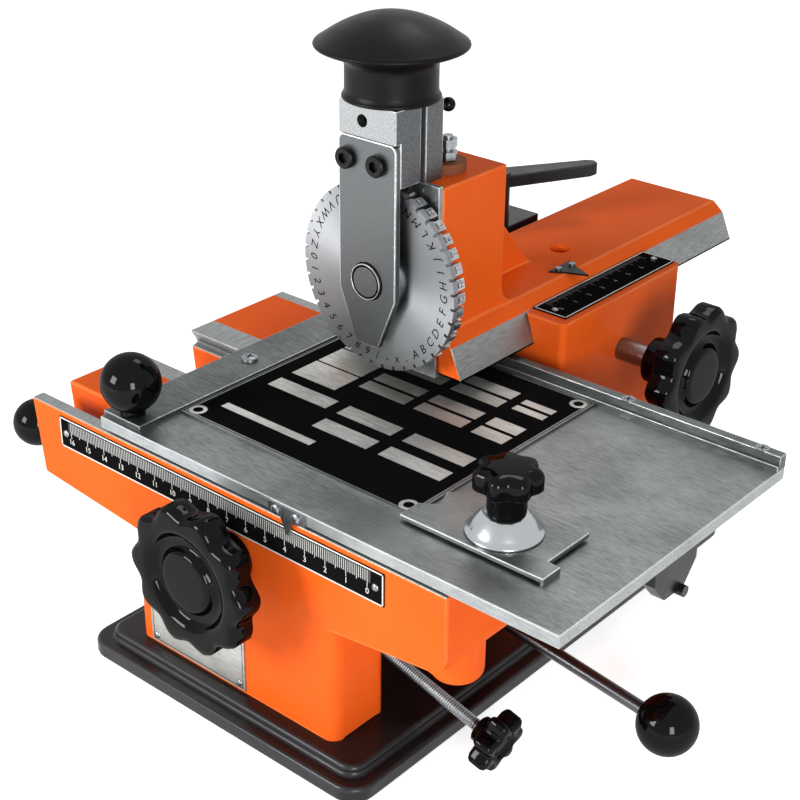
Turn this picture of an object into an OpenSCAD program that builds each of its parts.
/* [Base plate] */
// Length of the base plate along the table's travel
base_l = 151; // [146:1:165]
// Reach of the base plate behind the rear housing
base_back = 8; // [4:1:20]
// Height of the base plate's rim
base_rim_h = 7; // [6:0.5:9]
// Rise of the raised panel over the rim
base_panel_h = 4; // [2:0.5:6]
// Width of the rim round the raised panel
base_rim_w = 6.5; // [4:0.5:8]
// Corner radius of the base plate
base_corner_r = 10; // [8:1:14]
// Distance from the bed's left end to the base plate
base_x = 39; // [36:1:44]
// Reach of the base plate in front of the bed
base_front = 13; // [11:1:20]
// Diameter of a rubber foot
foot_d = 16; // [12:1:20]
// Height of a rubber foot
foot_h = 8; // [7:0.5:12]
// Distance from the plate's sides to a foot's centre
foot_inset_x = 27; // [14:1:30]
// Distance from the plate's front and back edges to a foot's centre
foot_inset_y = 15; // [12:1:18]

/* [Bed casting] */
// Length of the bed along the table's travel
bed_l = 220; // [205:1:250]
// Depth of the bed from front to back
bed_d = 146; // [142:1:149]
// Height of the bed's machined top above the bench
bed_top = 109; // [106:1:120]
// Height of the bed's two ends
bed_end_h = 34; // [30:1:36]
// Draft of the bed's left end
bed_draft = 4; // [2:0.5:6]
// Fall of the bed's underside from its ends to the legs
bed_belly = 5; // [2:0.5:8]
// Radius at the lower right corner of the bed
bed_corner_r = 8; // [4:1:10]
// Thickness of the front wall
front_wall = 6; // [5:0.5:7]
// Width of the trough behind the front wall
trough_w = 13; // [11:0.5:14]
// Depth of the trough below the machined top
trough_depth = 29; // [27:0.5:31]
// Wall that closes the trough at its right end
trough_end = 15; // [10:1:20]
// Depth of the body between the trough and the table's way
land_w = 38; // [36:1:40]
// Distance from the bed's left end to the front leg
leg_x = 58; // [54:1:62]
// Length of the front leg
leg_l = 110; // [104:1:116]
// Depth of the front leg
leg_d = 30; // [26:1:32]
// Radius of the legs' vertical corners
leg_corner_r = 6; // [3:0.5:9]
// Diameter of the boss under the right end
boss_d = 20; // [16:1:24]
// Fall of the boss below the bed's end
boss_drop = 12; // [8:1:16]

/* [Rear housing] */
// Distance from the bed's left end to the rear housing
housing_x = 61; // [58:1:64]
// Length of the rear housing
housing_l = 97; // [94:1:104]
// Gap between the bed's back edge and the raised housing
housing_step = 4; // [2:1:6]
// Depth of the raised housing
housing_d = 89; // [84:1:90]
// Rise of the housing over the bed's machined top
housing_h = 29; // [28:1:34]
// Depth of the rear leg under the bed
rear_leg_d = 30; // [26:1:32]
// Radius of the housing's vertical corners
housing_corner_r = 3; // [2:0.5:5]

/* [Ways] */
// Width of the table's dovetail at the machined top
way_w = 29.8; // [27:0.2:31]
// Spread of a dovetail's flank
way_flare = 3.6; // [2.5:0.1:4]
// Height of a dovetail's flank
way_flare_h = 6; // [5:0.5:7]
// Depth of the dovetail below the machined top
way_depth = 7; // [7:0.5:8]
// Running clearance on each side of a way
way_gap = 0.05; // [0.03:0.01:0.08]
// Rise of the web tops over the bed's underside
web_h = 13; // [8:1:14]
// Width of the arm's dovetail at the housing top
arm_way_w = 58; // [54:1:62]
// Spread of the arm's dovetail flank
arm_flare = 5.2; // [3:0.1:6]
// Depth of the arm's dovetail
arm_way_depth = 13; // [12:0.5:14]

/* [Table] */
// Length of the table plate
table_l = 221; // [216:1:250]
// Gap between the table plate and the rear housing
table_gap = 8; // [7:0.5:12]
// Thickness of the table plate
table_t = 5; // [4:0.5:6]
// Lift of the table plate over the bed
table_lift = 2; // [1:0.5:3]
// Place of the table's left edge from the bed's left end
table_x = 45; // [42:1:48]
// Reach of the table in front of the bed
table_front = 1; // [0.9:0.1:3]
// Length of the dovetail slide
slide_l = 200; // [196:1:210]
// Place of the slide's left end from the bed's left end
slide_x = 58; // [56:1:60]
// Length of the left fence's base along the table's travel
left_fence_w = 21; // [18:1:24]
// Thickness of the left fence
left_fence_t = 2; // [1.5:0.5:3]
// Setback of the left fence from the table's front
left_fence_set = 2; // [1:1:4]
// Width of the back fence
back_fence_w = 6; // [6:0.5:8]
// Height of the back fence over the table
back_fence_h = 6; // [4:0.5:7]
// Diameter of the ball knob on the left fence
table_ball_d = 24; // [20:1:27]
// Distance from the table's front to the ball knob
table_ball_y = 8; // [7:1:12]
// Length of the sample plate
sample_l = 119; // [110:1:125]
// Depth of the sample plate
sample_d = 114; // [100:1:114]
// Thickness of the sample plate
sample_t = 1; // [0.8:0.1:1.5]
// Length of the bracket under the slide's right end
bracket_t = 6; // [5:0.5:8]
// Drop of that bracket below the table
bracket_drop = 19; // [16:1:20]

/* [Plate clamp] */
// Distance from the table's right edge to the clamp stud
clamp_x = 48; // [46:1:52]
// Distance from the table's front to the clamp stud
clamp_y = 34; // [32:1:37]
// Length of the clamp plate
clamp_l = 57; // [54:1:60]
// Depth of the clamp plate
clamp_d = 34; // [31:1:36]
// Thickness of the clamp plate
clamp_t = 2; // [1.5:0.5:3]
// Diameter of the clamp stud
clamp_stud_d = 8; // [6:0.5:9]
// Diameter of the chrome cup at its foot
cup_d = 28; // [25:1:30]
// Height of the chrome cup
cup_h = 8; // [6:0.5:10]
// Diameter of the clamp knob over its lobes
clamp_knob_d = 26; // [23:1:28]
// Height of the clamp knob's stem
clamp_stem_h = 7; // [5:0.5:9]
// Height of the clamp knob's lobed head
clamp_knob_h = 10; // [8:0.5:12]

/* [Racks and pinions] */
// Teeth of a pinion
pinion_teeth = 16; // [14:1:18]
// Module of racks and pinions
tooth_module = 1.5; // [1.3:0.05:1.6]
// Backlash at the pitch line
backlash = 0.15; // [0.1:0.05:0.25]
// Width of racks and pinions
gear_w = 14; // [10:1:14]
// Height of a rack over the roots of its teeth
rack_back = 5.2; // [4:0.2:6]
// Rack teeth under the table
table_rack_teeth = 38; // [36:1:40]
// Rack teeth under the arm
arm_rack_teeth = 20; // [19:1:22]
// Place of the front shaft from the bed's left end
front_shaft_x = 118.5; // [116:0.5:121]
// Place of the side shaft behind the rear housing's front
side_shaft_set = 45; // [40:1:49]
// Depth of the rack's seat in the arm
rack_sink = 5.8; // [5.6:0.1:6.2]
// Diameter of both shafts
shaft_d = 10; // [8:0.5:11]
// Outer diameter of the shaft bushes
bush_d = 14; // [13:0.5:16]

/* [Hand knobs] */
// Diameter of a hand knob over its lobes
hand_knob_d = 60; // [52:1:64]
// Lobes of a hand knob
hand_knob_lobes = 10; // [8:1:12]
// Depth of the hollows between the lobes
lobe_depth = 4.5; // [2:0.5:6]
// Thickness of a hand knob's rim
hand_rim_t = 12; // [8:1:14]
// Length of a hand knob's hub behind the rim
hand_hub_l = 14; // [11:1:16]
// Diameter of a hand knob's hub
hand_hub_d = 20; // [17:1:20]
// Depth of the dish in a hand knob's face
dish_depth = 4; // [2:0.5:6]
// Reach of the side shaft from the housing to its knob
side_reach = 16; // [10:1:24]

/* [Arm] */
// Reach of the arm's front face before the rear housing
arm_reach = 48.5; // [47:0.5:51]
// Length of the arm
arm_l = 207.5; // [200:0.5:215]
// Height of the chamfered plate over the arm's dovetail
arm_plate_h = 4.5; // [3:0.5:6]
// Width of the upright
upright_w = 47; // [44:1:50]
// Depth of the upright
upright_d = 39.5; // [36:0.5:42]
// Height of the upright over the arm's plate
upright_h = 61; // [59:0.5:63]
// Reach of the rib behind the upright
gusset_l = 46; // [30:1:50]
// Height of that rib
gusset_h = 53; // [40:1:54]
// Thickness of that rib
gusset_t = 7; // [5:0.5:9]
// Radius at the foot of the upright
foot_fillet_r = 9; // [5:0.5:12]
// Thickness of the bright guide strips
strip_t = 2.5; // [2:0.5:3]
// Opening between the guide strips
strip_gap = 18.5; // [17:0.5:20]

/* [Press head] */
// How far the head's axis stands left of the housing's middle
head_set = 0.5; // [0:0.5:2]
// Width of the press column
column_w = 28.4; // [26:0.2:30]
// Depth of the column's part in the upright
column_back = 10.5; // [9:0.5:12]
// Stroke of the press
press_stroke = 8; // [6:0.5:8]
// Clearance of the pressed wheel over the sample plate
mark_gap = 0.5; // [0.4:0.1:1]
// Length of the column below its overhang
column_tail = 59; // [56:1:61]
// Height of the overhanging part below the cap
neck_h = 17.5; // [15:0.5:19]
// Height of the cap block
cap_h = 13.5; // [11:0.5:15]
// Gap between the wheel and the column
wheel_gap = 1.4; // [1:0.1:2]
// Gap between the wheel and the front plate
plate_gap = 3; // [2:0.5:4]
// Thickness of the front plate
front_plate_t = 3; // [2:0.5:4]
// Width of the front plate
front_plate_w = 29; // [26:0.5:31]
// Width of the front plate's tip
front_tip_w = 11.5; // [9:0.5:14]
// Height of the front plate's shoulders over its tip
front_tip_h = 22; // [18:1:24]
// Height of the front plate
front_plate_h = 85; // [80:1:86]
// Radius of the palm knob's cap
palm_r = 29.5; // [25:0.5:32]
// Height of the palm knob
palm_h = 32; // [28:1:36]

/* [Character wheel] */
// Diameter of the character wheel
wheel_d = 78; // [74:1:80]
// Thickness of the character wheel
wheel_t = 7.5; // [6:0.5:8]
// Thickness of the wheel's front flange
flange_t = 2.6; // [1.5:0.1:3]
// Number of type blocks
type_count = 40; // [24:1:42]
// Height of a type block
type_h = 5.2; // [4:0.2:6]
// Width of a type block
type_w = 4.3; // [3:0.1:4.5]
// Diameter of the axle in the wheel
axle_d = 12; // [10:0.5:13]
// Diameter of the axle's head
axle_head_d = 15; // [13.5:0.5:17]

/* [Feed lever] */
// Place of the rocker's pivot from the bed's left end
rocker_x = 85; // [82:1:88]
// Depth of the rocker's pivot below the bed's belly
rocker_drop = 18; // [16:1:20]
// Diameter of the rocker's tube
rocker_d = 16; // [14:1:18]
// Diameter of the rocker's pin
rocker_pin_d = 8; // [6:0.5:9]
// Place of the ball lever behind the bed's front
lever_y = 84; // [80:1:90]
// Length from the pivot to the lever's ball
lever_l = 177; // [165:1:185]
// Slope of the ball lever
lever_tilt = 8; // [6:0.5:9]
// Diameter of the lever's rod
lever_rod_d = 5.5; // [4:0.5:6]
// Diameter of the lever's ball
lever_ball_d = 24; // [20:1:25]
// Place of the spacing screw behind the bed's front
screw_y = 38; // [37:0.5:42]
// Reach of the spacing screw's knob past the base plate
star_reach = 25; // [22:1:28]
// Slope of the spacing screw
screw_tilt = 14.7; // [13:0.1:15]
// Diameter of the spacing screw
screw_d = 5; // [4:0.5:6]
// Diameter of the spacing screw's star knob
star_d = 25; // [20:1:26]
// Thickness of that star knob
star_t = 9; // [7:1:11]

/* [Clamp lever and release rod] */
// Distance of the clamp lever's stud from the arm's left way edge
clamp_lever_gap = 7.5; // [6:0.5:9]
// Place of the clamp lever's stud before the rear housing's back
clamp_lever_set = 27; // [24:1:34]
// Height of the clamp lever's hub
clamp_lever_h = 16; // [14:1:20]
// Length of the clamp lever
clamp_lever_l = 50; // [40:1:55]
// Direction of the clamp lever from the table's travel
clamp_lever_a = 57; // [50:1:65]
// Length of the black clamping shoe
shoe_l = 42; // [38:1:44]
// Width of the black clamping shoe
shoe_w = 18.5; // [17:0.5:18.5]
// Diameter of the release rod
release_d = 6; // [5:0.5:7]
// Place of the release rod behind the bed's front
release_y = 13.5; // [13:0.5:14]
// Depth of the release rod below the machined top
release_drop = 23.5; // [22:0.5:25]
// Reach of the release ball's centre past the bed
release_reach = 17; // [13:1:22]
// Diameter of the release ball
release_ball_d = 20.5; // [18:0.5:24]

/* [Scales and plates] */
// Length of the front scale strip
front_scale_l = 174.4; // [170:0.2:180]
// Height of the front scale strip
front_scale_h = 13.5; // [12:0.5:15]
// Thickness of scale strips and plates
scale_t = 0.7; // [0.5:0.1:0.8]
// Place of the front scale strip from the bed's left end
front_scale_x = 18.1; // [14:0.5:22]
// Length of the side scale strip
side_scale_l = 82.8; // [78:0.2:84]
// Width of the side scale strip
side_scale_w = 16.5; // [14:0.5:17]
// Length of the data plate
data_l = 54; // [45:1:60]
// Height of the data plate
data_h = 42; // [34:1:44]

/* [Hidden] */
$fn = 48;

orange = "#e8622c";
bright = "#a9adab";
steel = "#8a8f92";
black = "#1a1a1c";

over = 1;
seat_gap = 0.03;
run_gap = 0.05;
round_steps = 6;
pressure_a = 20;

base_top = foot_h + base_rim_h + base_panel_h;
leg_root = bed_top - bed_end_h - bed_belly;
bed_low = bed_top - bed_end_h;
trough_y = front_wall;
way_y0 = front_wall + trough_w + land_w;
way_y1 = way_y0 + way_w;
way_mid = (way_y0 + way_y1) / 2;
housing_y = bed_d + housing_step;
housing_back = housing_y + housing_d;
head_x = housing_x + housing_l / 2 - head_set;
clamp_lever_x = head_x - arm_way_w / 2 - clamp_lever_gap;
rear_leg_y = bed_d - rear_leg_d;
base_y = -base_front;
base_d = housing_back + base_back - base_y;
side_shaft_y = housing_y + side_shaft_set;
clamp_lever_y = housing_back - clamp_lever_set;
arm_y = housing_y - arm_reach;
housing_top = bed_top + housing_h;
slide_bottom = bed_top - way_depth + way_gap;
table_low = bed_top + table_lift;
table_top = table_low + table_t;
table_y = -table_front;
table_back = housing_y - table_gap;
table_d = table_back - table_y;

addendum_share = 0.9;
dedendum_share = 1.25;
addendum = tooth_module * addendum_share;
dedendum = tooth_module * dedendum_share;
pinion_r = pinion_teeth * tooth_module / 2;
pinion_base_r = pinion_r * cos(pressure_a);
pinion_tip_r = pinion_r + addendum;
pinion_root_r = pinion_r - dedendum;
tooth_pitch = PI * tooth_module;
front_shaft_z = slide_bottom - rack_back - dedendum - pinion_r;
arm_bottom = housing_top - arm_way_depth + way_gap;
side_shaft_z = arm_bottom + rack_sink - rack_back - dedendum - pinion_r;

strip_front = arm_y - strip_t;
rib_front = strip_front - run_gap * 2;
wheel_back = rib_front - wheel_gap;
wheel_front = wheel_back - wheel_t;
plate_back = wheel_front - plate_gap;
plate_front = plate_back - front_plate_t;
wheel_r = wheel_d / 2;
wheel_z = table_top + sample_t + mark_gap + press_stroke + wheel_r;
arm_plate_z = housing_top + arm_plate_h;
upright_top = arm_plate_z + upright_h;
strip_over = 1;
overhang_z = upright_top + strip_over;
neck_top = overhang_z + neck_h;
cap_top = neck_top + cap_h;
column_bottom = overhang_z - column_tail;
slot_bottom = column_bottom - press_stroke * 2;
palm_y = plate_front + (arm_y + column_back - plate_front) / 2;

rocker_z = leg_root - rocker_drop;
release_z = bed_top - release_drop;

frame_left = -(release_reach + release_ball_d / 2);
frame_right = rocker_x + lever_l * cos(lever_tilt) + lever_ball_d / 2;
hand_knob_l = hand_hub_l + hand_rim_t;
knob_stand = 1;
frame_front = -(knob_stand + hand_knob_l);
frame_back = arm_y + arm_l;
frame_shift = [-(frame_left + frame_right) / 2, -(frame_front + frame_back) / 2, 0];

module placed() translate(frame_shift) children();

module along_x(p) translate(p) rotate([0, 90, 0]) children();

module along_y(p) translate(p) rotate([-90, 0, 0]) children();

// Draws an outline of x and z from y0 over a depth d
module slab_y(y0, d) translate([0, y0 + d, 0]) rotate([90, 0, 0]) linear_extrude(d) children();

// Draws an outline of y and z from x0 over a length l
module slab_x(x0, l) translate([x0, 0, 0]) rotate([90, 0, 90]) linear_extrude(l) children();

// Points of a quarter arc about c, from angle a
function quarter(c, r, a) = [for (i = [0:round_steps]) c + r * [cos(a + i * 90 / round_steps),
                                                            sin(a + i * 90 / round_steps)]];

function reversed(list) = [for (i = [len(list) - 1:-1:0]) list[i]];

function rounded_points(x, y, l, d, r) = concat(
    quarter([x + l - r, y + d - r], r, 0), quarter([x + r, y + d - r], r, 90),
    quarter([x + r, y + r], r, 180), quarter([x + l - r, y + r], r, 270));

module rounded_block(p, size, r) translate([0, 0, p[2]]) linear_extrude(size[2])
    polygon(rounded_points(p[0], p[1], size[0], size[1], r));

module block(p, size) translate(p) cube(size);

// Dovetail section across a way: c is its middle, w its top width, o its outward offset
module dovetail(c, top, w, flare, flare_h, depth, o) polygon([
    [c - w / 2 - o, top], [c - w / 2 - flare - o, top - flare_h], [c - w / 2 - flare - o, top - depth],
    [c + w / 2 + flare + o, top - depth], [c + w / 2 + flare + o, top - flare_h], [c + w / 2 + o, top]]);

/* Toothed pieces */
function roll_a(r) = sqrt(pow(r / pinion_base_r, 2) - 1) * 180 / PI;
function inv_a(r) = roll_a(r) - atan(roll_a(r) * PI / 180);
function tooth_half(r) = 90 / pinion_teeth - backlash / 2 / pinion_r * 180 / PI + inv_a(pinion_r) - inv_a(r);
flank_steps = 5;
flank_radii = [for (i = [0:flank_steps])
    pinion_base_r + (pinion_tip_r - pinion_base_r) * i / flank_steps];
function tooth_points(a) = concat(
    [pinion_root_r * [sin(a - tooth_half(pinion_base_r)), cos(a - tooth_half(pinion_base_r))]],
    [for (r = flank_radii) r * [sin(a - tooth_half(r)), cos(a - tooth_half(r))]],
    [for (i = [flank_steps:-1:0]) flank_radii[i]
        * [sin(a + tooth_half(flank_radii[i])), cos(a + tooth_half(flank_radii[i]))]],
    [pinion_root_r * [sin(a + tooth_half(pinion_base_r)), cos(a + tooth_half(pinion_base_r))]]);

// Pinion outline with one tooth straight up
module pinion_outline() polygon([for (i = [0:pinion_teeth - 1]) each tooth_points(i * 360 / pinion_teeth)]);

// Rack outline, teeth downwards, with the pitch line at z, from a gap that lies first pitches from c
module rack_outline(c, z, first, count, top) {
    tip = (tooth_pitch - backlash) / 4 - tan(pressure_a) * addendum;
    root = (tooth_pitch - backlash) / 4 + tan(pressure_a) * dedendum;
    start = c + first * tooth_pitch;
    middles = [for (i = [0:count - 1]) start + (i + 1 / 2) * tooth_pitch];
    end = start + count * tooth_pitch;
    polygon(concat(
        [[start, top], [start, z + dedendum]],
        [for (m = middles) each [[m - root, z + dedendum], [m - tip, z - addendum],
                                 [m + tip, z - addendum], [m + root, z + dedendum]]],
        [[end, z + dedendum], [end, top]]));
}

// Lobed outline with n lobes
lobe_steps = 14;
module lobed_outline(d, n, depth) polygon([for (i = [0:n * lobe_steps - 1])
    (d / 2 - depth * (1 - cos(i * 360 / lobe_steps)) / 2)
        * [cos(i * 360 / lobe_steps / n), sin(i * 360 / lobe_steps / n)]]);

// Screw along +z: the head stands on z = 0 and the shank hangs below it
module screw(head_d, head_h, shank_d, shank_l) {
    cylinder(h = head_h, d = head_d);
    translate([0, 0, -shank_l]) cylinder(h = shank_l, d = shank_d);
}

/* Base plate, feet and screws */
foot_screw_d = 4;
foot_screw_head_d = 7.5;
foot_screw_head_h = 2.5;
foot_recess = 4;
foot_screw_l = 10;
foot_chamfer = 1;
casting_screw_d = 6;
casting_screw_head_d = 10;
casting_screw_head_h = 5;
casting_screw_sink = 6;
casting_screw_grip = 14;
head_gap = 0.5;
leg_screw_inset = 12;
foot_places = [for (x = [foot_inset_x, base_l - foot_inset_x], y = [foot_inset_y, base_d - foot_inset_y])
    [base_x + x, base_y + y, 0]];
casting_screw_places = concat(
    [for (x = [leg_x + leg_screw_inset, leg_x + leg_l - leg_screw_inset]) [x, leg_d / 2, foot_h]],
    [for (x = [housing_x + leg_screw_inset, housing_x + housing_l - leg_screw_inset])
        [x, housing_back - leg_screw_inset * 2, foot_h]]);

module base_plate() color(black) difference() {
    union() {
        rounded_block([base_x, base_y, foot_h], [base_l, base_d, base_rim_h], base_corner_r);
        rounded_block([base_x + base_rim_w, base_y + base_rim_w, foot_h],
                      [base_l - base_rim_w * 2, base_d - base_rim_w * 2, base_rim_h + base_panel_h],
                      base_corner_r - base_rim_w / 2);
    }
    for (p = foot_places) translate([p[0], p[1], foot_h - over])
        cylinder(h = over + foot_screw_l - foot_recess, d = foot_screw_d + seat_gap * 2);
    for (p = casting_screw_places) translate(p) {
        translate([0, 0, -over]) cylinder(h = over + casting_screw_sink, d = casting_screw_head_d + head_gap);
        cylinder(h = base_top, d = casting_screw_d + seat_gap * 2);
    }
}

module rubber_feet() color("#141414") for (p = foot_places) translate(p) difference() {
    rotate_extrude() polygon([[0, 0], [foot_d / 2 - foot_chamfer, 0], [foot_d / 2, foot_chamfer],
                              [foot_d / 2, foot_h], [0, foot_h]]);
    translate([0, 0, -over]) cylinder(h = over + foot_recess, d = foot_screw_head_d + seat_gap * 2);
    cylinder(h = foot_h + over, d = foot_screw_d + seat_gap * 2);
}

module foot_screws() color(steel) for (p = foot_places) translate([p[0], p[1], foot_recess])
    rotate([180, 0, 0]) screw(foot_screw_head_d, foot_screw_head_h, foot_screw_d, foot_screw_l);

module casting_screws() color(steel) for (p = casting_screw_places) translate(p)
    translate([0, 0, casting_screw_sink]) rotate([180, 0, 0])
        screw(casting_screw_head_d, casting_screw_head_h, casting_screw_d,
              base_top - foot_h - casting_screw_sink + casting_screw_grip);

/* Main casting */
web_left_l = 14;
web_right_l = 33;
rear_bush_l = 14;
side_bush_l = 20;
pocket_gap = 1;
release_wall_x = 62;
release_wall_t = 6;
release_wall_h = 13;
release_wall_step = 22;
pin_seat = 9;
stud_seat = 8;
lever_stud_d = 6;
boss_round = 4;
leg_overlap = 5;
front_hole_gap = 0.5;

module bed_outline() polygon(concat(
    [[0, bed_top], [bed_draft, bed_low], [leg_x, leg_root], [leg_x + leg_l, leg_root]],
    quarter([bed_l - bed_corner_r, bed_low + bed_corner_r], bed_corner_r, 270),
    [[bed_l, bed_top]]));

module bed_boss() translate([bed_l - boss_d / 2, way_y0 / 3, bed_low - boss_drop]) rotate_extrude()
    polygon(concat([[0, 0]], quarter([boss_d / 2 - boss_round, boss_round], boss_round, 270),
                   [[boss_d / 2, boss_drop + bed_corner_r], [0, boss_drop + bed_corner_r]]));

module casting_body() {
    slab_y(0, bed_d) bed_outline();
    rounded_block([leg_x, 0, base_top], [leg_l, leg_d, leg_root - base_top + leg_overlap], leg_corner_r);
    rounded_block([housing_x, rear_leg_y, base_top],
                  [housing_l, housing_back - rear_leg_y, bed_top - base_top], housing_corner_r);
    rounded_block([housing_x, housing_y, bed_top - leg_overlap],
                  [housing_l, housing_d, housing_h + leg_overlap], housing_corner_r);
    bed_boss();
}

module way_cuts() {
    web_top = leg_root + web_h;
    slab_x(-over, bed_l + over * 2)
        dovetail(way_mid, bed_top, way_w, way_flare, way_flare_h, way_depth, 0);
    block([-over, way_y0, web_top], [bed_l + over * 2, way_w, bed_top - web_top + over]);
    block([-over, way_y0, leg_root - over], [leg_x + over, way_w, bed_top]);
    block([leg_x + web_left_l, way_y0, leg_root - over],
          [leg_l - web_left_l - web_right_l, way_w, bed_top]);
    block([leg_x + leg_l, way_y0, leg_root - over], [bed_l, way_w, bed_top]);
    slab_y(housing_y - over, housing_d + over * 2)
        dovetail(head_x, housing_top, arm_way_w, arm_flare, arm_way_depth - over, arm_way_depth, 0);
    block([head_x - arm_way_w / 2, housing_y - over, housing_top - over],
          [arm_way_w, housing_d + over * 2, over * 2]);
}

module trough_cuts() difference() {
    block([-over, trough_y, bed_top - trough_depth], [bed_l - trough_end + over, trough_w, bed_top]);
    for (i = [0, 1]) block([release_wall_x + i * release_wall_step, trough_y - over,
                            bed_top - trough_depth - over],
                           [release_wall_t, trough_w + over * 2, release_wall_h + over]);
}

module shaft_cuts() {
    along_y([front_shaft_x, -over, front_shaft_z])
        cylinder(h = front_wall + trough_w + over * 2, d = shaft_d + front_hole_gap * 2);
    along_y([front_shaft_x, trough_y + trough_w - over, front_shaft_z])
        cylinder(h = land_w + over * 2, d = bush_d + seat_gap * 2);
    along_y([front_shaft_x, way_y1 - over, front_shaft_z])
        cylinder(h = rear_bush_l + over, d = bush_d + seat_gap * 2);
    along_x([head_x - gear_w / 2 - pocket_gap - side_bush_l, side_shaft_y, side_shaft_z])
        cylinder(h = housing_l, d = bush_d + seat_gap * 2);
    block([head_x - gear_w / 2 - pocket_gap, side_shaft_y - pinion_tip_r - pocket_gap,
           side_shaft_z - pinion_tip_r - pocket_gap],
          [gear_w + pocket_gap * 2, (pinion_tip_r + pocket_gap) * 2, housing_h]);
    block([head_x - gear_w / 2 - pocket_gap, housing_y - over,
           side_shaft_z + pinion_r - addendum - pocket_gap],
          [gear_w + pocket_gap * 2, housing_d + over * 2, arm_way_depth]);
    along_x([-over, release_y, release_z])
        cylinder(h = release_wall_x + release_wall_step * 2, d = release_d + run_gap * 2);
    along_y([rocker_x, -over, rocker_z])
        cylinder(h = leg_d + over * 2, d = rocker_pin_d + seat_gap * 2);
    along_y([rocker_x, rear_leg_y - over, rocker_z])
        cylinder(h = pin_seat + over, d = rocker_pin_d + seat_gap * 2);
}

module main_casting() color(orange) difference() {
    casting_body();
    way_cuts();
    trough_cuts();
    shaft_cuts();
    for (p = casting_screw_places) translate([p[0], p[1], base_top - over])
        cylinder(h = casting_screw_grip + over, d = casting_screw_d + seat_gap * 2);
    translate([clamp_lever_x, clamp_lever_y, housing_top - stud_seat])
        cylinder(h = stud_seat + over, d = lever_stud_d + seat_gap * 2);
}

module bush(l) difference() {
    cylinder(h = l, d = bush_d);
    translate([0, 0, -over]) cylinder(h = l + over * 2, d = shaft_d + run_gap * 2);
}

module shaft_bushes() color("#b08d57") {
    along_y([front_shaft_x, trough_y + trough_w, front_shaft_z]) bush(land_w);
    along_y([front_shaft_x, way_y1, front_shaft_z]) bush(rear_bush_l);
    along_x([head_x - gear_w / 2 - pocket_gap - side_bush_l, side_shaft_y, side_shaft_z])
        bush(side_bush_l);
    along_x([head_x + gear_w / 2 + pocket_gap, side_shaft_y, side_shaft_z])
        bush(housing_x + housing_l - head_x - gear_w / 2 - pocket_gap);
}

module rocker_pin() color(steel) along_y([rocker_x, seat_gap, rocker_z])
    cylinder(h = rear_leg_y + pin_seat - seat_gap, d = rocker_pin_d);

/* Scales and plates */
front_scale_top = 2.5;
side_scale_set = 5.2;
way_margin = 0.5;
data_x = 9;
data_z = 1.5;
rivet_d = 3;
rivet_h = 0.8;
rivet_inset = 3.8;
data_rivet_inset = 3;
side_scale_x = head_x + arm_way_w / 2 + way_margin;

module front_scale() color(black)
    block([front_scale_x, -scale_t, bed_top - front_scale_top - front_scale_h],
          [front_scale_l, scale_t, front_scale_h]);

module side_scale() color(black)
    block([side_scale_x, housing_y + side_scale_set, housing_top], [side_scale_w, side_scale_l, scale_t]);

module data_plate() color("#9a9a94")
    block([leg_x + data_x, -scale_t, base_top + data_z], [data_l, scale_t, data_h]);

module rivet() rotate_extrude() polygon([[0, 0], [rivet_d / 2, 0], [rivet_d / 2, rivet_h / 2],
                                         [rivet_d / 4, rivet_h], [0, rivet_h]]);

module plate_rivets() color(steel) {
    for (x = [rivet_inset, front_scale_l - rivet_inset])
        translate([front_scale_x + x, -scale_t, bed_top - front_scale_top - front_scale_h / 2])
            rotate([90, 0, 0]) rivet();
    for (x = [data_rivet_inset, data_l - data_rivet_inset], z = [data_rivet_inset, data_h - data_rivet_inset])
        translate([leg_x + data_x + x, -scale_t, base_top + data_z + z]) rotate([90, 0, 0]) rivet();
    for (y = [rivet_inset, side_scale_l - rivet_inset])
        translate([side_scale_x + side_scale_w / 2, housing_y + side_scale_set + y, housing_top + scale_t])
            rivet();
}

/* Clamp lever on its shoe */
shoe_t = 4;
shoe_back = 0.5;
lever_hub_d = 15;
lever_arm_t = 6;
lever_hub_proud = 1;
lever_root_w = 11;
lever_tip_w = 8;
lever_stud_top = 12;

module clamp_shoe() color(black) difference() {
    block([head_x - arm_way_w / 2 - way_margin - shoe_w, housing_back - shoe_back - shoe_l, housing_top],
          [shoe_w, shoe_l, shoe_t]);
    translate([clamp_lever_x, clamp_lever_y, housing_top - over])
        cylinder(h = shoe_t + over * 2, d = lever_stud_d + seat_gap * 2);
}

module lever_stud() color(steel) translate([clamp_lever_x, clamp_lever_y, housing_top - stud_seat])
    cylinder(h = stud_seat + shoe_t + lever_stud_top, d = lever_stud_d);

module clamp_lever() color(black) translate([clamp_lever_x, clamp_lever_y, housing_top + shoe_t])
    difference() {
        union() {
            cylinder(h = clamp_lever_h + lever_arm_t + lever_hub_proud, d = lever_hub_d);
            translate([0, 0, clamp_lever_h]) rotate([0, 0, clamp_lever_a]) linear_extrude(lever_arm_t)
                polygon([[0, -lever_root_w / 2], [clamp_lever_l - lever_tip_w / 2, -lever_tip_w / 2],
                         [clamp_lever_l, -lever_tip_w / 4], [clamp_lever_l, lever_tip_w / 4],
                         [clamp_lever_l - lever_tip_w / 2, lever_tip_w / 2], [0, lever_root_w / 2]]);
        }
        translate([0, 0, -over]) cylinder(h = lever_stud_top + over * 2, d = lever_stud_d + run_gap * 2);
    }

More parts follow.
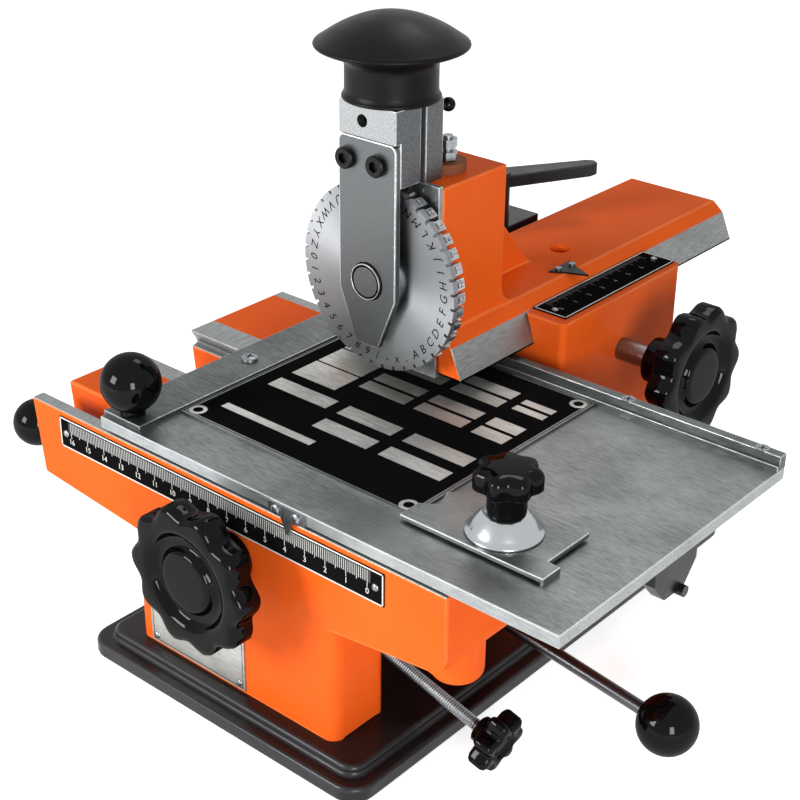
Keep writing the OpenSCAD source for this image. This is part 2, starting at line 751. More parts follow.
/* Sliding table */
gear_inset = 1.8;
table_rack_lead = 10;
strip_lead = 7;
ratchet_w = 6;
ratchet_t = 5;
ratchet_pitch = 3;
ratchet_depth = 2;
ratchet_margin = 4;
fence_step_w = 1.5;
fence_step_h = 2.5;
fence_screw_d = 6;
fence_screw_t = 2;
fence_screw_shares = [0.07, 0.69, 0.96];
fence_pan_d = 7;
fence_pan_h = 2;
fence_pan_share = 0.5;
table_ball_neck = 1.2;
table_ball_neck_d = 10;
pointer_x = 147.5;
pointer_w = 18;
pointer_h = 4.6;
pointer_tip = 7;
pointer_tip_w = 3;
pointer_t = 1;
pointer_screw_d = 4;
pointer_screw_h = 1.2;
pointer_screw_set = 5;
sample_hole_d = 4;
sample_hole_inset = 5;
bracket_gap = 1.3;
bracket_pin_r = 2.2;
bracket_foot_w = 12;
bracket_lip = 8;
clamp_clear = 0.4;
fence_y = table_back - back_fence_w;
gear_y = way_y1 - gear_inset - gear_w;
slide_end = slide_x + slide_l;
clamp_at = [table_x + table_l - clamp_x, table_y + clamp_y];
clamp_low = table_top + sample_t;
clamp_top = clamp_low + clamp_t;
stem_low = clamp_top + cup_h;

module table_slide() color(orange) slab_x(slide_x, slide_l) polygon([
    [way_y0 + way_gap, table_low], [way_y0 + way_gap, bed_top],
    [way_y0 - way_flare + way_gap, bed_top - way_flare_h], [way_y0 - way_flare + way_gap, slide_bottom],
    [way_y1 + way_flare - way_gap, slide_bottom], [way_y1 + way_flare - way_gap, bed_top - way_flare_h],
    [way_y1 - way_gap, bed_top], [way_y1 - way_gap, table_low]]);

module table_plate() color(bright) difference() {
    block([table_x, table_y, table_low], [table_l, table_d, table_t]);
    translate([clamp_at[0], clamp_at[1], table_low - over])
        cylinder(h = table_t + over * 2, d = clamp_stud_d + seat_gap * 2);
}

module table_rack() color(steel) slab_y(gear_y, gear_w)
    rack_outline(front_shaft_x, front_shaft_z + pinion_r, -table_rack_lead, table_rack_teeth, slide_bottom);

module ratchet_strip() color(steel) {
    x0 = slide_x + ratchet_margin;
    count = floor((slide_l - ratchet_margin * 2) / ratchet_pitch);
    root = slide_bottom - ratchet_t + ratchet_depth;
    slab_y(way_y0 + strip_lead, ratchet_w) polygon(concat(
        [[x0, slide_bottom]],
        [for (i = [0:count - 1]) each [[x0 + i * ratchet_pitch, root],
                                       [x0 + i * ratchet_pitch, slide_bottom - ratchet_t]]],
        [[x0 + count * ratchet_pitch, root], [x0 + count * ratchet_pitch, slide_bottom]]));
}

module left_fence() color("#6d7070")
    block([table_x, table_y + left_fence_set, table_top],
          [left_fence_w, fence_y - table_y - left_fence_set, left_fence_t]);

module back_fence() color("#5c5f60") difference() {
    slab_x(table_x, table_l) polygon([
        [fence_y, table_top], [table_back, table_top], [table_back, table_top + back_fence_h],
        [fence_y + fence_step_w, table_top + back_fence_h],
        [fence_y + fence_step_w, table_top + fence_step_h], [fence_y, table_top + fence_step_h]]);
    for (s = fence_screw_shares) translate([table_x + table_l * s, fence_mid, fence_cone_z])
        cylinder(h = fence_screw_t + over, d1 = fence_cone_d, d2 = fence_screw_d + over * fence_cone_slope);
}
fence_mid = table_back - (back_fence_w - fence_step_w) / 2;
fence_cone_z = table_top + back_fence_h - fence_screw_t;
fence_cone_d = back_fence_w / 4;
fence_cone_slope = (fence_screw_d - fence_cone_d) / fence_screw_t;

module table_screws() color(steel) {
    for (s = fence_screw_shares) translate([table_x + table_l * s, fence_mid, fence_cone_z + seat_gap])
        cylinder(h = fence_screw_t - seat_gap, d1 = fence_cone_d, d2 = fence_screw_d - seat_gap * 2);
    translate([table_x + left_fence_w / 2, table_y + table_d * fence_pan_share, table_top + left_fence_t])
        cylinder(h = fence_pan_h, d = fence_pan_d);
    for (x = [-pointer_screw_set, pointer_screw_set])
        along_y([pointer_x + x, table_y - pointer_t - pointer_screw_h, table_low + pointer_h / 2])
            cylinder(h = pointer_screw_h, d = pointer_screw_d);
}

module scale_pointer() color("#303032") slab_y(table_y - pointer_t, pointer_t) polygon([
    [pointer_x - pointer_w / 2, table_low + pointer_h], [pointer_x - pointer_w / 2, table_low],
    [pointer_x - pointer_tip_w, table_low], [pointer_x, table_low - pointer_tip],
    [pointer_x + pointer_tip_w, table_low], [pointer_x + pointer_w / 2, table_low],
    [pointer_x + pointer_w / 2, table_low + pointer_h]]);

module sample_plate() color("#222224") difference() {
    block([table_x + left_fence_w, fence_y - sample_d, table_top], [sample_l, sample_d, sample_t]);
    for (x = [sample_hole_inset, sample_l - sample_hole_inset],
         y = [sample_hole_inset, sample_d - sample_hole_inset])
        translate([table_x + left_fence_w + x, fence_y - sample_d + y, table_top - over])
            cylinder(h = sample_t + over * 2, d = sample_hole_d);
}

module table_ball() color(black)
    translate([table_x + left_fence_w / 2, table_y + table_ball_y, table_top + left_fence_t]) {
        cylinder(h = table_ball_d / 2, d = table_ball_neck_d);
        translate([0, 0, table_ball_d / 2 + table_ball_neck]) sphere(d = table_ball_d);
    }

module slide_bracket() color(black) union() {
    slab_x(slide_end, bracket_t) polygon([
        [way_y0 + bracket_gap, table_low], [way_y0 + bracket_gap, table_low - bracket_lip],
        [way_mid - bracket_foot_w / 2, table_low - bracket_drop + bracket_pin_r],
        [way_mid + bracket_foot_w / 2, table_low - bracket_drop + bracket_pin_r],
        [way_y1 - bracket_gap, table_low - bracket_lip], [way_y1 - bracket_gap, table_low]]);
    along_x([slide_end, way_mid + bracket_foot_w / 2 - bracket_pin_r,
             table_low - bracket_drop + bracket_pin_r])
        cylinder(h = bracket_t + bracket_pin_r, r = bracket_pin_r);
}

/* Plate clamp */
clamp_left_share = 0.605;
clamp_front_share = 0.45;
clamp_outline_shares = [[0, 0], [1, 0], [1, 1], [0.3, 1], [0.05, 0.68], [0.11, 0.43], [0, 0.3]];
clamp_tab = 5.2;
clamp_tab_w = 10;
clamp_lip = 1.5;
cup_top_d = 16;
clamp_stem_d = 14;
clamp_knob_lobes = 7;
clamp_lobe_depth = 3.6;
clamp_cap_h = 1.6;
clamp_cap_d = 14;
stud_in_knob = 9;

module clamp_plate() color(bright) translate([clamp_at[0], clamp_at[1], clamp_low]) difference() {
    left = -clamp_l * clamp_left_share;
    right = clamp_l + left;
    front = -clamp_d * clamp_front_share;
    union() {
        linear_extrude(clamp_t)
            polygon([for (s = clamp_outline_shares) [left + s[0] * clamp_l, front + s[1] * clamp_d]]);
        block([right - over, front, 0], [clamp_tab + over, clamp_tab_w, clamp_t]);
        block([right + clamp_tab - clamp_lip, front, -sample_t],
              [clamp_lip, clamp_tab_w, sample_t + clamp_t]);
    }
    translate([0, 0, -over]) cylinder(h = clamp_t + over * 2, d = clamp_stud_d + clamp_clear * 2);
}

module clamp_stud() color(steel) translate([clamp_at[0], clamp_at[1], table_low])
    cylinder(h = stem_low + stud_in_knob - table_low, d = clamp_stud_d);

module clamp_cup() color("#c9ccce") translate([clamp_at[0], clamp_at[1], clamp_top]) difference() {
    cylinder(h = cup_h, d1 = cup_d, d2 = cup_top_d);
    translate([0, 0, -over]) cylinder(h = cup_h + over * 2, d = clamp_stud_d + clamp_clear * 2);
}

module clamp_knob() color(black) translate([clamp_at[0], clamp_at[1], stem_low]) difference() {
    union() {
        cylinder(h = clamp_stem_h + clamp_knob_h, d = clamp_stem_d);
        translate([0, 0, clamp_stem_h]) linear_extrude(clamp_knob_h)
            lobed_outline(clamp_knob_d, clamp_knob_lobes, clamp_lobe_depth);
        translate([0, 0, clamp_stem_h + clamp_knob_h])
            cylinder(h = clamp_cap_h, d1 = clamp_cap_d, d2 = clamp_cap_d - clamp_cap_h * 2);
    }
    translate([0, 0, -over]) cylinder(h = stud_in_knob + run_gap + over, d = clamp_stud_d + run_gap * 2);
}

/* Hand knobs, shafts and pinions */
hub_round_share = 0.6;
dish_share = 0.62;
boss_share = 0.4;
shaft_in_knob = 18;

module hand_knob() difference() {
    union() {
        rotate_extrude() polygon([
            [0, 0], [hand_hub_d / 2, 0], [hand_hub_d / 2, hand_hub_l * hub_round_share],
            [hand_knob_d / 2 * dish_share, hand_hub_l], [0, hand_hub_l]]);
        translate([0, 0, hand_hub_l]) linear_extrude(hand_rim_t)
            lobed_outline(hand_knob_d, hand_knob_lobes, lobe_depth);
    }
    translate([0, 0, hand_knob_l - dish_depth]) difference() {
        cylinder(h = dish_depth + over, d = hand_knob_d * dish_share);
        translate([0, 0, -over]) cylinder(h = dish_depth, d = hand_knob_d * boss_share);
    }
    translate([0, 0, -over]) cylinder(h = shaft_in_knob + over, d = shaft_d + seat_gap * 2);
}

module front_hand_knob() color(black)
    translate([front_shaft_x, -knob_stand, front_shaft_z]) rotate([90, 0, 0]) hand_knob();

module front_shaft() color(steel) along_y([front_shaft_x, -knob_stand - shaft_in_knob, front_shaft_z])
    cylinder(h = knob_stand + shaft_in_knob + way_y1 + rear_bush_l - pocket_gap, d = shaft_d);

module front_pinion() color(steel) difference() {
    translate([front_shaft_x, 0, front_shaft_z]) slab_y(gear_y, gear_w) pinion_outline();
    along_y([front_shaft_x, gear_y - over, front_shaft_z])
        cylinder(h = gear_w + over * 2, d = shaft_d + seat_gap * 2);
}

side_knob_x = housing_x + housing_l + side_reach;
side_shaft_start = head_x - gear_w / 2 - side_bush_l;

module side_hand_knob() color(black) along_x([side_knob_x, side_shaft_y, side_shaft_z]) hand_knob();

module side_shaft() color(steel) along_x([side_shaft_start, side_shaft_y, side_shaft_z])
    cylinder(h = side_knob_x + shaft_in_knob - side_shaft_start, d = shaft_d);

module side_pinion() color(steel) difference() {
    translate([0, side_shaft_y, side_shaft_z]) slab_x(head_x - gear_w / 2, gear_w) pinion_outline();
    along_x([head_x - gear_w / 2 - over, side_shaft_y, side_shaft_z])
        cylinder(h = gear_w + over * 2, d = shaft_d + seat_gap * 2);
}

/* Arm */
arm_rack_lead = 10;
rack_room = 1;
top_hole_d = 9;
top_hole_depth = 6;
top_hole_dx = 5;
top_hole_y = 106;
chamfer_share = 0.19;
strip_w = 14;
strip_screw_d = 5;
strip_screw_t = 1.3;
strip_screw_shares = [0.32, 0.68];
arm_pointer_t = 0.8;
arm_pointer_set = 40;
arm_pointer_y = housing_y + arm_pointer_set;
arm_pointer_w = 16;
arm_pointer_root = 6;
arm_pointer_reach = 9.5;
arm_pointer_screw_d = 3;
arm_pointer_screw_h = 1;
stop_dx = 10;
stop_dy = 18.5;
stop_d = 4;
stop_seat = 8;
stop_h = 14;
nut_d = 8;
nut_h = 3.2;
nut_heights = [4.5, 9.5];
washer_d = 15;
washer_t = 4;
arm_chamfer = (arm_way_w - upright_w) / 2;

module arm_section() polygon([
    [head_x - arm_way_w / 2 - arm_flare + way_gap, arm_bottom],
    [head_x + arm_way_w / 2 + arm_flare - way_gap, arm_bottom],
    [head_x + arm_way_w / 2 + arm_flare - way_gap, arm_bottom + over - way_gap],
    [head_x + arm_way_w / 2 - way_gap, housing_top], [head_x + upright_w / 2, arm_plate_z],
    [head_x - upright_w / 2, arm_plate_z], [head_x - arm_way_w / 2 + way_gap, housing_top],
    [head_x - arm_way_w / 2 - arm_flare + way_gap, arm_bottom + over - way_gap]]);

module arm_casting() color(orange) difference() {
    union() {
        slab_y(arm_y, arm_l) arm_section();
        slab_x(head_x - upright_w / 2, upright_w) polygon(concat(
            [[arm_y, housing_top], [arm_y + upright_d + foot_fillet_r, housing_top]],
            reversed(quarter([arm_y + upright_d + foot_fillet_r, arm_plate_z + foot_fillet_r],
                             foot_fillet_r, 180)),
            [[arm_y + upright_d, upright_top], [arm_y, upright_top]]));
        slab_x(head_x - gusset_t / 2, gusset_t) polygon([
            [arm_y, housing_top], [arm_y + upright_d + gusset_l, housing_top],
            [arm_y + upright_d + gusset_l, arm_plate_z], [arm_y + upright_d, arm_plate_z + gusset_h]]);
    }
    block([head_x - column_w / 2 - run_gap, arm_y - over, slot_bottom],
          [column_w + run_gap * 2, column_back + run_gap + over, upright_top]);
    block([head_x - gear_w / 2 - seat_gap, side_shaft_y - (arm_rack_lead + rack_room / 2) * tooth_pitch,
           arm_bottom - over],
          [gear_w + seat_gap * 2, (arm_rack_teeth + rack_room) * tooth_pitch, rack_sink + over]);
    translate([head_x + top_hole_dx, arm_y + top_hole_y, arm_plate_z - top_hole_depth])
        cylinder(h = top_hole_depth + over, d = top_hole_d);
    translate([head_x + stop_dx, arm_y + stop_dy, upright_top - stop_seat])
        cylinder(h = stop_seat + over, d = stop_d + seat_gap * 2);
}

module guide_strips() color("#b9bcba") difference() {
    for (x = [head_x - strip_gap / 2 - strip_w, head_x + strip_gap / 2])
        block([x, strip_front, arm_bottom - strip_over],
              [strip_w, strip_t, overhang_z - arm_bottom + strip_over]);
    for (side = [-1, 1], s = strip_screw_shares)
        along_y([head_x + side * (strip_gap + strip_w) / 2, strip_front - over,
                 arm_bottom + (overhang_z - arm_bottom) * s])
            cylinder(h = strip_screw_t + over, d = strip_screw_d + seat_gap * 2);
}

module arm_screws() color(steel) {
    for (side = [-1, 1], s = strip_screw_shares)
        along_y([head_x + side * (strip_gap + strip_w) / 2, strip_front,
                 arm_bottom + (overhang_z - arm_bottom) * s])
            cylinder(h = strip_screw_t, d = strip_screw_d);
    for (i = [-1, 1])
        translate([head_x + upright_w / 2 - arm_pointer_root / 2 + i * arm_pointer_screw_d / 4,
                   arm_pointer_y + i * arm_pointer_w / 4, arm_plate_z + arm_pointer_t])
            cylinder(h = arm_pointer_screw_h, d = arm_pointer_screw_d);
}

module arm_rack() color(steel) slab_x(head_x - gear_w / 2, gear_w)
    rack_outline(side_shaft_y, side_shaft_z + pinion_r, -arm_rack_lead, arm_rack_teeth,
                 arm_bottom + rack_sink);

module arm_pointer() color(black) translate([head_x + upright_w / 2, arm_pointer_y, arm_plate_z])
    linear_extrude(arm_pointer_t) polygon([
        [-arm_pointer_root, -arm_pointer_w / 2], [0, -arm_pointer_w / 4], [arm_pointer_reach, 0],
        [0, arm_pointer_w / 4], [-arm_pointer_root, arm_pointer_w / 2]]);

module depth_stop() color(steel) translate([head_x + stop_dx, arm_y + stop_dy, upright_top]) {
    translate([0, 0, -stop_seat]) cylinder(h = stop_seat + stop_h, d = stop_d);
    for (z = nut_heights) translate([0, 0, z]) cylinder(h = nut_h, d = nut_d, $fn = 6);
}

module stop_washer() color("#8a5a3c") translate([head_x + stop_dx, arm_y + stop_dy, upright_top])
    difference() {
        cylinder(h = washer_t, d = washer_d);
        translate([0, 0, -over]) cylinder(h = washer_t + over * 2, d = stop_d + run_gap * 2);
    }

// One unbroken tube of the return spring: straight ends of one wire, then the curls
spring_curls = 5;
curl_rings = 8;
spring_sides = 6;
spring_wire = 1.1;
spring_d = 8.3;
spring_axis = [head_x, arm_y + column_back / 2 + run_gap];
spring_low = slot_bottom + seat_gap;
spring_h = column_bottom - slot_bottom - seat_gap * 2;
spring_rings = spring_curls * curl_rings;
spring_mean_r = (spring_d - spring_wire) / 2;
function spring_point(i) =
    i < 0 ? [spring_mean_r, 0, 0]
    : i > spring_rings ? [spring_mean_r, 0, spring_h]
    : [spring_mean_r * cos(i * 360 / curl_rings), spring_mean_r * sin(i * 360 / curl_rings),
       spring_wire + (spring_h - spring_wire * 2) * i / spring_rings];
spring_path = [for (i = [-1:spring_rings + 1]) spring_point(i)];
function unit(v) = v / norm(v);
function spring_ring(i) =
    let (last = len(spring_path) - 1, r = spring_wire / 2,
         way = unit(i == 0 || i == last ? [0, 0, 1]
             : unit(spring_path[i + 1] - spring_path[i]) + unit(spring_path[i] - spring_path[i - 1])),
         out = unit([spring_path[i][0], spring_path[i][1], 0]),
         side = unit(cross(way, out)), up = cross(side, way))
    [for (k = [0:spring_sides - 1])
        spring_path[i] + r * (cos(k * 360 / spring_sides) * side + sin(k * 360 / spring_sides) * up)];
half_curl = curl_rings / 2;
spring_self_gap = min([for (i = [1:spring_rings - curl_rings], k = [0:half_curl])
    norm(spring_path[i + half_curl + k + 1] - spring_path[i])]) - spring_wire;

module return_spring() color(steel) translate([spring_axis[0], spring_axis[1], spring_low]) {
    last = spring_rings + 2;
    echo(spring_self_gap = spring_self_gap);
    polyhedron(
        points = [for (i = [0:last]) each spring_ring(i)],
        faces = concat(
            [[for (k = [0:spring_sides - 1]) k]],
            [[for (k = [spring_sides - 1:-1:0]) last * spring_sides + k]],
            [for (i = [0:last - 1], k = [0:spring_sides - 1])
                let (a = i * spring_sides + k, b = i * spring_sides + (k + 1) % spring_sides)
                each [[a, a + spring_sides, b], [b, a + spring_sides, b + spring_sides]]]));
}

/* Press head */
plate_screw_d = 4;
plate_screw_l = 12;
plate_screw_head_d = 6.8;
plate_screw_head_h = 4;
plate_screw_hex_d = 3.4;
plate_screw_hex_depth = 2;
plate_screw_drop = 9;
plate_screw_gap = 15.5;
plate_screw_shift = -2.3;
set_screw_d = 5;
set_screw_depth = 7;
set_screw_l = 5;
palm_stud_d = 8;
palm_stud_l = 11;
head_ball_dx = 11.4;
head_ball_drop = 5.2;
head_ball_reach = 6;
head_ball_d = 5.6;
head_pin_d = 2.6;
head_pin_seat = 5;
axle_tail_d = 9;
axle_tail_l = 9;
axle_proud = 1;
wheel_hub_d = 26;
detent_d = 3.4;
detent_l = 11;
detent_dx = 10.5;
detent_gap = 0.4;
notch_w = 1.2;
notch_depth = 1.6;
block_face = 0.8;
block_face_w = 2.6;
block_side = 0.8;
plate_corner = 3;
palm_shares = [[0.658, 0], [0.658, 0.03], [0.62, 0.06], [0.608, 0.12], [0.607, 0.3], [0.61, 0.4],
               [0.635, 0.455], [0.7, 0.5], [0.84, 0.555], [0.95, 0.595], [0.99, 0.615], [1, 0.637],
               [0.985, 0.66], [0.95, 0.682], [0.88, 0.725], [0.78, 0.784], [0.65, 0.85], [0.5, 0.911],
               [0.35, 0.957], [0.18, 0.988]];
detent_tip = wheel_z + sqrt(pow(wheel_r, 2) - pow(detent_dx, 2)) + detent_gap;
palm_at = [head_x, palm_y, cap_top];
head_ball_at = [head_x + head_ball_dx, arm_y + column_back, cap_top - head_ball_drop];
set_screw_at = [head_x + plate_screw_shift, plate_front, neck_top + cap_h / 2];
plate_screw_places = [for (s = [-1 / 2, 1 / 2])
    [head_x + plate_screw_shift + s * plate_screw_gap, plate_front, neck_top - plate_screw_drop]];

module press_column() color(steel) difference() {
    union() {
        block([head_x - column_w / 2, arm_y + run_gap, column_bottom],
              [column_w, column_back - run_gap, cap_top - column_bottom]);
        block([head_x - strip_gap / 2 + run_gap, rib_front, column_bottom],
              [strip_gap - run_gap * 2, arm_y - rib_front + over, cap_top - column_bottom]);
        block([head_x - column_w / 2, plate_back, overhang_z],
              [column_w, strip_front - run_gap - plate_back, cap_top - overhang_z]);
        block([head_x - column_w / 2, plate_front, neck_top], [column_w, front_plate_t + over, cap_h]);
    }
    along_y([head_x, rib_front - over, wheel_z])
        cylinder(h = axle_tail_l + over, d = axle_tail_d + seat_gap * 2);
    for (p = plate_screw_places) along_y(p) cylinder(h = plate_screw_l, d = plate_screw_d + seat_gap * 2);
    along_y(set_screw_at - [0, over, 0]) cylinder(h = set_screw_depth + over, d = set_screw_d + seat_gap * 2);
    translate(palm_at - [0, 0, palm_stud_l + seat_gap])
        cylinder(h = palm_stud_l + seat_gap + over, d = palm_stud_d + seat_gap * 2);
    translate([head_x + detent_dx, (wheel_front + wheel_back) / 2, overhang_z - over])
        cylinder(h = detent_tip + detent_l + over * 2 - overhang_z, d = detent_d + run_gap * 2);
    along_y(head_ball_at - [0, head_pin_seat, 0])
        cylinder(h = head_pin_seat + over, d = head_pin_d + seat_gap * 2);
}

module palm_knob() color(black) translate(palm_at) {
    rotate_extrude() polygon(concat(
        [[0, 0]], [for (s = palm_shares) [s[0] * palm_r, s[1] * palm_h]], [[0, palm_h]]));
    translate([0, 0, -palm_stud_l]) cylinder(h = palm_stud_l + over, d = palm_stud_d);
}

module head_ball() color(black) {
    along_y(head_ball_at - [0, head_pin_seat, 0])
        cylinder(h = head_pin_seat + head_ball_reach, d = head_pin_d);
    translate(head_ball_at + [0, head_ball_reach, 0]) sphere(d = head_ball_d);
}

module front_plate() color(bright) difference() {
    tip = neck_top - front_plate_h;
    slab_y(plate_front, front_plate_t) polygon(concat(
        [[head_x - front_tip_w / 2, tip], [head_x + front_tip_w / 2, tip],
         [head_x + front_plate_w / 2, tip + front_tip_h]],
        quarter([head_x + front_plate_w / 2 - plate_corner, neck_top - plate_corner], plate_corner, 0),
        quarter([head_x - front_plate_w / 2 + plate_corner, neck_top - plate_corner], plate_corner, 90),
        [[head_x - front_plate_w / 2, tip + front_tip_h]]));
    for (p = plate_screw_places) along_y(p - [0, over, 0])
        cylinder(h = front_plate_t + over * 2, d = plate_screw_d + seat_gap * 2);
    along_y([head_x, plate_front - over, wheel_z])
        cylinder(h = front_plate_t + over * 2, d = axle_head_d + seat_gap * 2);
}

module press_screws() color(black) {
    for (p = plate_screw_places) along_y(p) difference() {
        translate([0, 0, -plate_screw_head_h]) union() {
            cylinder(h = plate_screw_head_h, d = plate_screw_head_d);
            cylinder(h = plate_screw_head_h + plate_screw_l - pocket_gap, d = plate_screw_d);
        }
        translate([0, 0, -plate_screw_head_h - over])
            cylinder(h = plate_screw_hex_depth + over, d = plate_screw_hex_d, $fn = 6);
    }
    along_y(set_screw_at + [0, set_screw_depth - set_screw_l, 0]) difference() {
        cylinder(h = set_screw_l, d = set_screw_d);
        translate([0, 0, -over]) cylinder(h = over + set_screw_l / 2, d = set_screw_d / 2, $fn = 6);
    }
}

module wheel_axle() color(bright) union() {
    along_y([head_x, plate_front - axle_proud, wheel_z])
        cylinder(h = axle_proud + front_plate_t, d = axle_head_d);
    along_y([head_x, plate_front, wheel_z]) cylinder(h = rib_front - plate_front, d = axle_d);
    along_y([head_x, plate_front, wheel_z])
        cylinder(h = rib_front - plate_front + axle_tail_l - seat_gap, d = axle_tail_d);
}

module detent_plunger() color(steel)
    translate([head_x + detent_dx, (wheel_front + wheel_back) / 2, detent_tip]) union() {
        cylinder(h = detent_d / 2, d1 = detent_d / 3, d2 = detent_d);
        translate([0, 0, detent_d / 2]) cylinder(h = detent_l - detent_d / 2, d = detent_d);
    }

module character_wheel() color(bright) difference() {
    union() {
        along_y([head_x, wheel_front, wheel_z]) cylinder(h = flange_t, r = wheel_r, $fn = 96);
        along_y([head_x, wheel_front, wheel_z]) cylinder(h = wheel_t, r = wheel_r - type_h, $fn = 96);
        along_y([head_x, plate_back + run_gap, wheel_z])
            cylinder(h = rib_front - plate_back - run_gap * 2, d = wheel_hub_d);
    }
    along_y([head_x, plate_back - over, wheel_z])
        cylinder(h = rib_front - plate_back + over * 2, d = axle_d + run_gap * 2);
    for (i = [0:type_count - 1]) translate([head_x, wheel_front - over, wheel_z])
        rotate([0, (i + 1 / 2) * 360 / type_count, 0])
            block([-notch_w / 2, 0, wheel_r - notch_depth],
                  [notch_w, flange_t + over * 2, notch_depth + over]);
}

module type_blocks() color("#8b8878") for (i = [0:type_count - 1])
    translate([head_x, wheel_front + flange_t, wheel_z]) rotate([0, i * 360 / type_count, 0]) union() {
        block([-type_w / 2, 0, wheel_r - type_h], [type_w, wheel_t - flange_t, type_h - block_face]);
        block([-block_face_w / 2, block_side, wheel_r - type_h],
              [block_face_w, wheel_t - flange_t - block_side * 2, type_h]);
    }

/* Feed lever */
tube_gap = 1;
lever_boss_d = 13;
lever_boss_l = 22;
lever_socket = 10;
screw_boss_d = 12;
screw_boss_l = 12;
screw_boss_back = 6;
screw_dx = 10;
screw_lift = 2.8;
pawl_pin_dx = 8;
pawl_pin_up = 32;
pawl_pin_d = 4;
pawl_arm_w = 10;
pawl_arm_t = 5;
pawl_arm_y = 1.2;
pawl_r = 4;
pawl_gap = 0.35;
pawl_nose_dx = -9;
pawl_nose_w = 3;
star_lobes = 7;
star_lobe_depth = 3.6;
star_hub_d = 11;
star_hub_l = 4;
star_seat = 7;
ball_seat = 8;
release_in = 95;
pawl_y = way_y0 + strip_lead;
pawl_pin_at = [rocker_x + pawl_pin_dx, way_y0 + pawl_arm_y, rocker_z + pawl_pin_up];
screw_start = [rocker_x + screw_dx, screw_y, rocker_z + screw_lift];

module on_lever() translate([rocker_x, lever_y, rocker_z]) rotate([0, 90 + lever_tilt, 0]) children();

module on_screw() translate(screw_start) rotate([0, 90 + screw_tilt, 0]) children();

module rocker() color("#4a4c4e") difference() {
    union() {
        along_y([rocker_x, leg_d + tube_gap, rocker_z])
            cylinder(h = rear_leg_y - leg_d - tube_gap * 2, d = rocker_d);
        on_lever() cylinder(h = lever_boss_l, d = lever_boss_d);
        on_screw() translate([0, 0, -screw_boss_back])
            cylinder(h = screw_boss_back + screw_boss_l, d = screw_boss_d);
        slab_y(way_y0 + pawl_arm_y, pawl_arm_t) polygon([
            [rocker_x - pawl_arm_w / 2, rocker_z], [rocker_x + pawl_arm_w / 2, rocker_z],
            [pawl_pin_at[0] + pawl_arm_w / 2, pawl_pin_at[2]],
            [pawl_pin_at[0] - pawl_arm_w / 2, pawl_pin_at[2]]]);
        along_y(pawl_pin_at) cylinder(h = pawl_arm_t, d = pawl_arm_w);
        along_y(pawl_pin_at) cylinder(h = pawl_y + ratchet_w - way_y0 - pawl_arm_y, d = pawl_pin_d);
    }
    along_y([rocker_x, leg_d, rocker_z])
        cylinder(h = rear_leg_y - leg_d, d = rocker_pin_d + run_gap * 2);
    on_lever() translate([0, 0, lever_socket]) cylinder(h = lever_boss_l, d = lever_rod_d + seat_gap * 2);
    on_screw() cylinder(h = screw_boss_l + over, d = screw_d + run_gap * 2);
}

module lever_rod() color(steel) on_lever() translate([0, 0, lever_socket])
    cylinder(h = lever_l - lever_socket - lever_ball_d / 2 + ball_seat, d = lever_rod_d);

module lever_ball() color(black) on_lever() difference() {
    translate([0, 0, lever_l]) sphere(d = lever_ball_d);
    translate([0, 0, lever_l - lever_ball_d])
        cylinder(h = lever_ball_d / 2 + ball_seat, d = lever_rod_d + seat_gap * 2);
}

screw_l = (base_x + base_l + star_reach - screw_start[0]) / cos(screw_tilt);
star_low = screw_l - star_t / 2 - star_hub_l;

module spacing_screw() color(steel) on_screw() cylinder(h = star_low + star_seat, d = screw_d);

module star_knob() color(black) on_screw() translate([0, 0, star_low]) difference() {
    union() {
        cylinder(h = star_hub_l + over, d = star_hub_d);
        translate([0, 0, star_hub_l]) linear_extrude(star_t)
            lobed_outline(star_d, star_lobes, star_lobe_depth);
    }
    translate([0, 0, -over]) cylinder(h = star_seat + over, d = screw_d + seat_gap * 2);
}

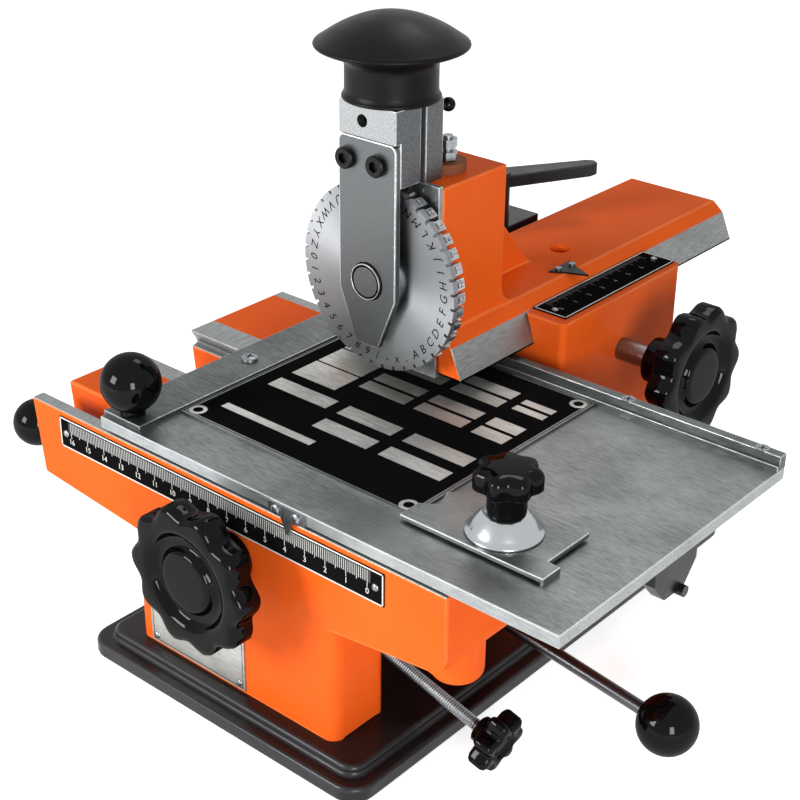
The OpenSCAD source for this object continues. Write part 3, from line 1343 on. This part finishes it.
module feed_pawl() color(steel) difference() {
    nose = [rocker_x + pawl_pin_dx + pawl_nose_dx, slide_bottom - ratchet_t - pawl_gap];
    union() {
        along_y([pawl_pin_at[0], pawl_y, pawl_pin_at[2]]) cylinder(h = ratchet_w, r = pawl_r);
        slab_y(pawl_y, ratchet_w) polygon([
            [pawl_pin_at[0], pawl_pin_at[2] - pawl_r], [pawl_pin_at[0], pawl_pin_at[2] + pawl_r],
            nose + [pawl_nose_w, 0], nose, nose - [0, pawl_nose_w]]);
    }
    along_y([pawl_pin_at[0], pawl_y - over, pawl_pin_at[2]])
        cylinder(h = ratchet_w + over * 2, d = pawl_pin_d + run_gap * 2);
}

/* Release rod */
release_rod_x = -release_reach - release_ball_d / 2 + ball_seat;

module release_rod() color(steel) along_x([release_rod_x, release_y, release_z])
    cylinder(h = release_in - release_rod_x, d = release_d);

module release_ball() color(black) difference() {
    along_x([-release_reach, release_y, release_z]) sphere(d = release_ball_d);
    along_x([release_rod_x - seat_gap, release_y, release_z])
        cylinder(h = release_ball_d, d = release_d + run_gap * 2);
}

placed() base_plate();
placed() rubber_feet();
placed() foot_screws();
placed() main_casting();
placed() casting_screws();
placed() front_scale();
placed() side_scale();
placed() data_plate();
placed() plate_rivets();
placed() shaft_bushes();
placed() rocker_pin();
placed() clamp_shoe();
placed() lever_stud();
placed() clamp_lever();
placed() table_slide();
placed() table_plate();
placed() table_rack();
placed() ratchet_strip();
placed() left_fence();
placed() back_fence();
placed() table_screws();
placed() scale_pointer();
placed() sample_plate();
placed() table_ball();
placed() slide_bracket();
placed() clamp_plate();
placed() clamp_stud();
placed() clamp_cup();
placed() clamp_knob();
placed() front_hand_knob();
placed() front_shaft();
placed() front_pinion();
placed() arm_casting();
placed() guide_strips();
placed() arm_screws();
placed() arm_rack();
placed() arm_pointer();
placed() depth_stop();
placed() stop_washer();
placed() return_spring();
placed() side_hand_knob();
placed() side_shaft();
placed() side_pinion();
placed() press_column();
placed() palm_knob();
placed() head_ball();
placed() front_plate();
placed() press_screws();
placed() wheel_axle();
placed() detent_plunger();
placed() character_wheel();
placed() type_blocks();
placed() rocker();
placed() lever_rod();
placed() lever_ball();
placed() spacing_screw();
placed() star_knob();
placed() feed_pawl();
placed() release_rod();
placed() release_ball();
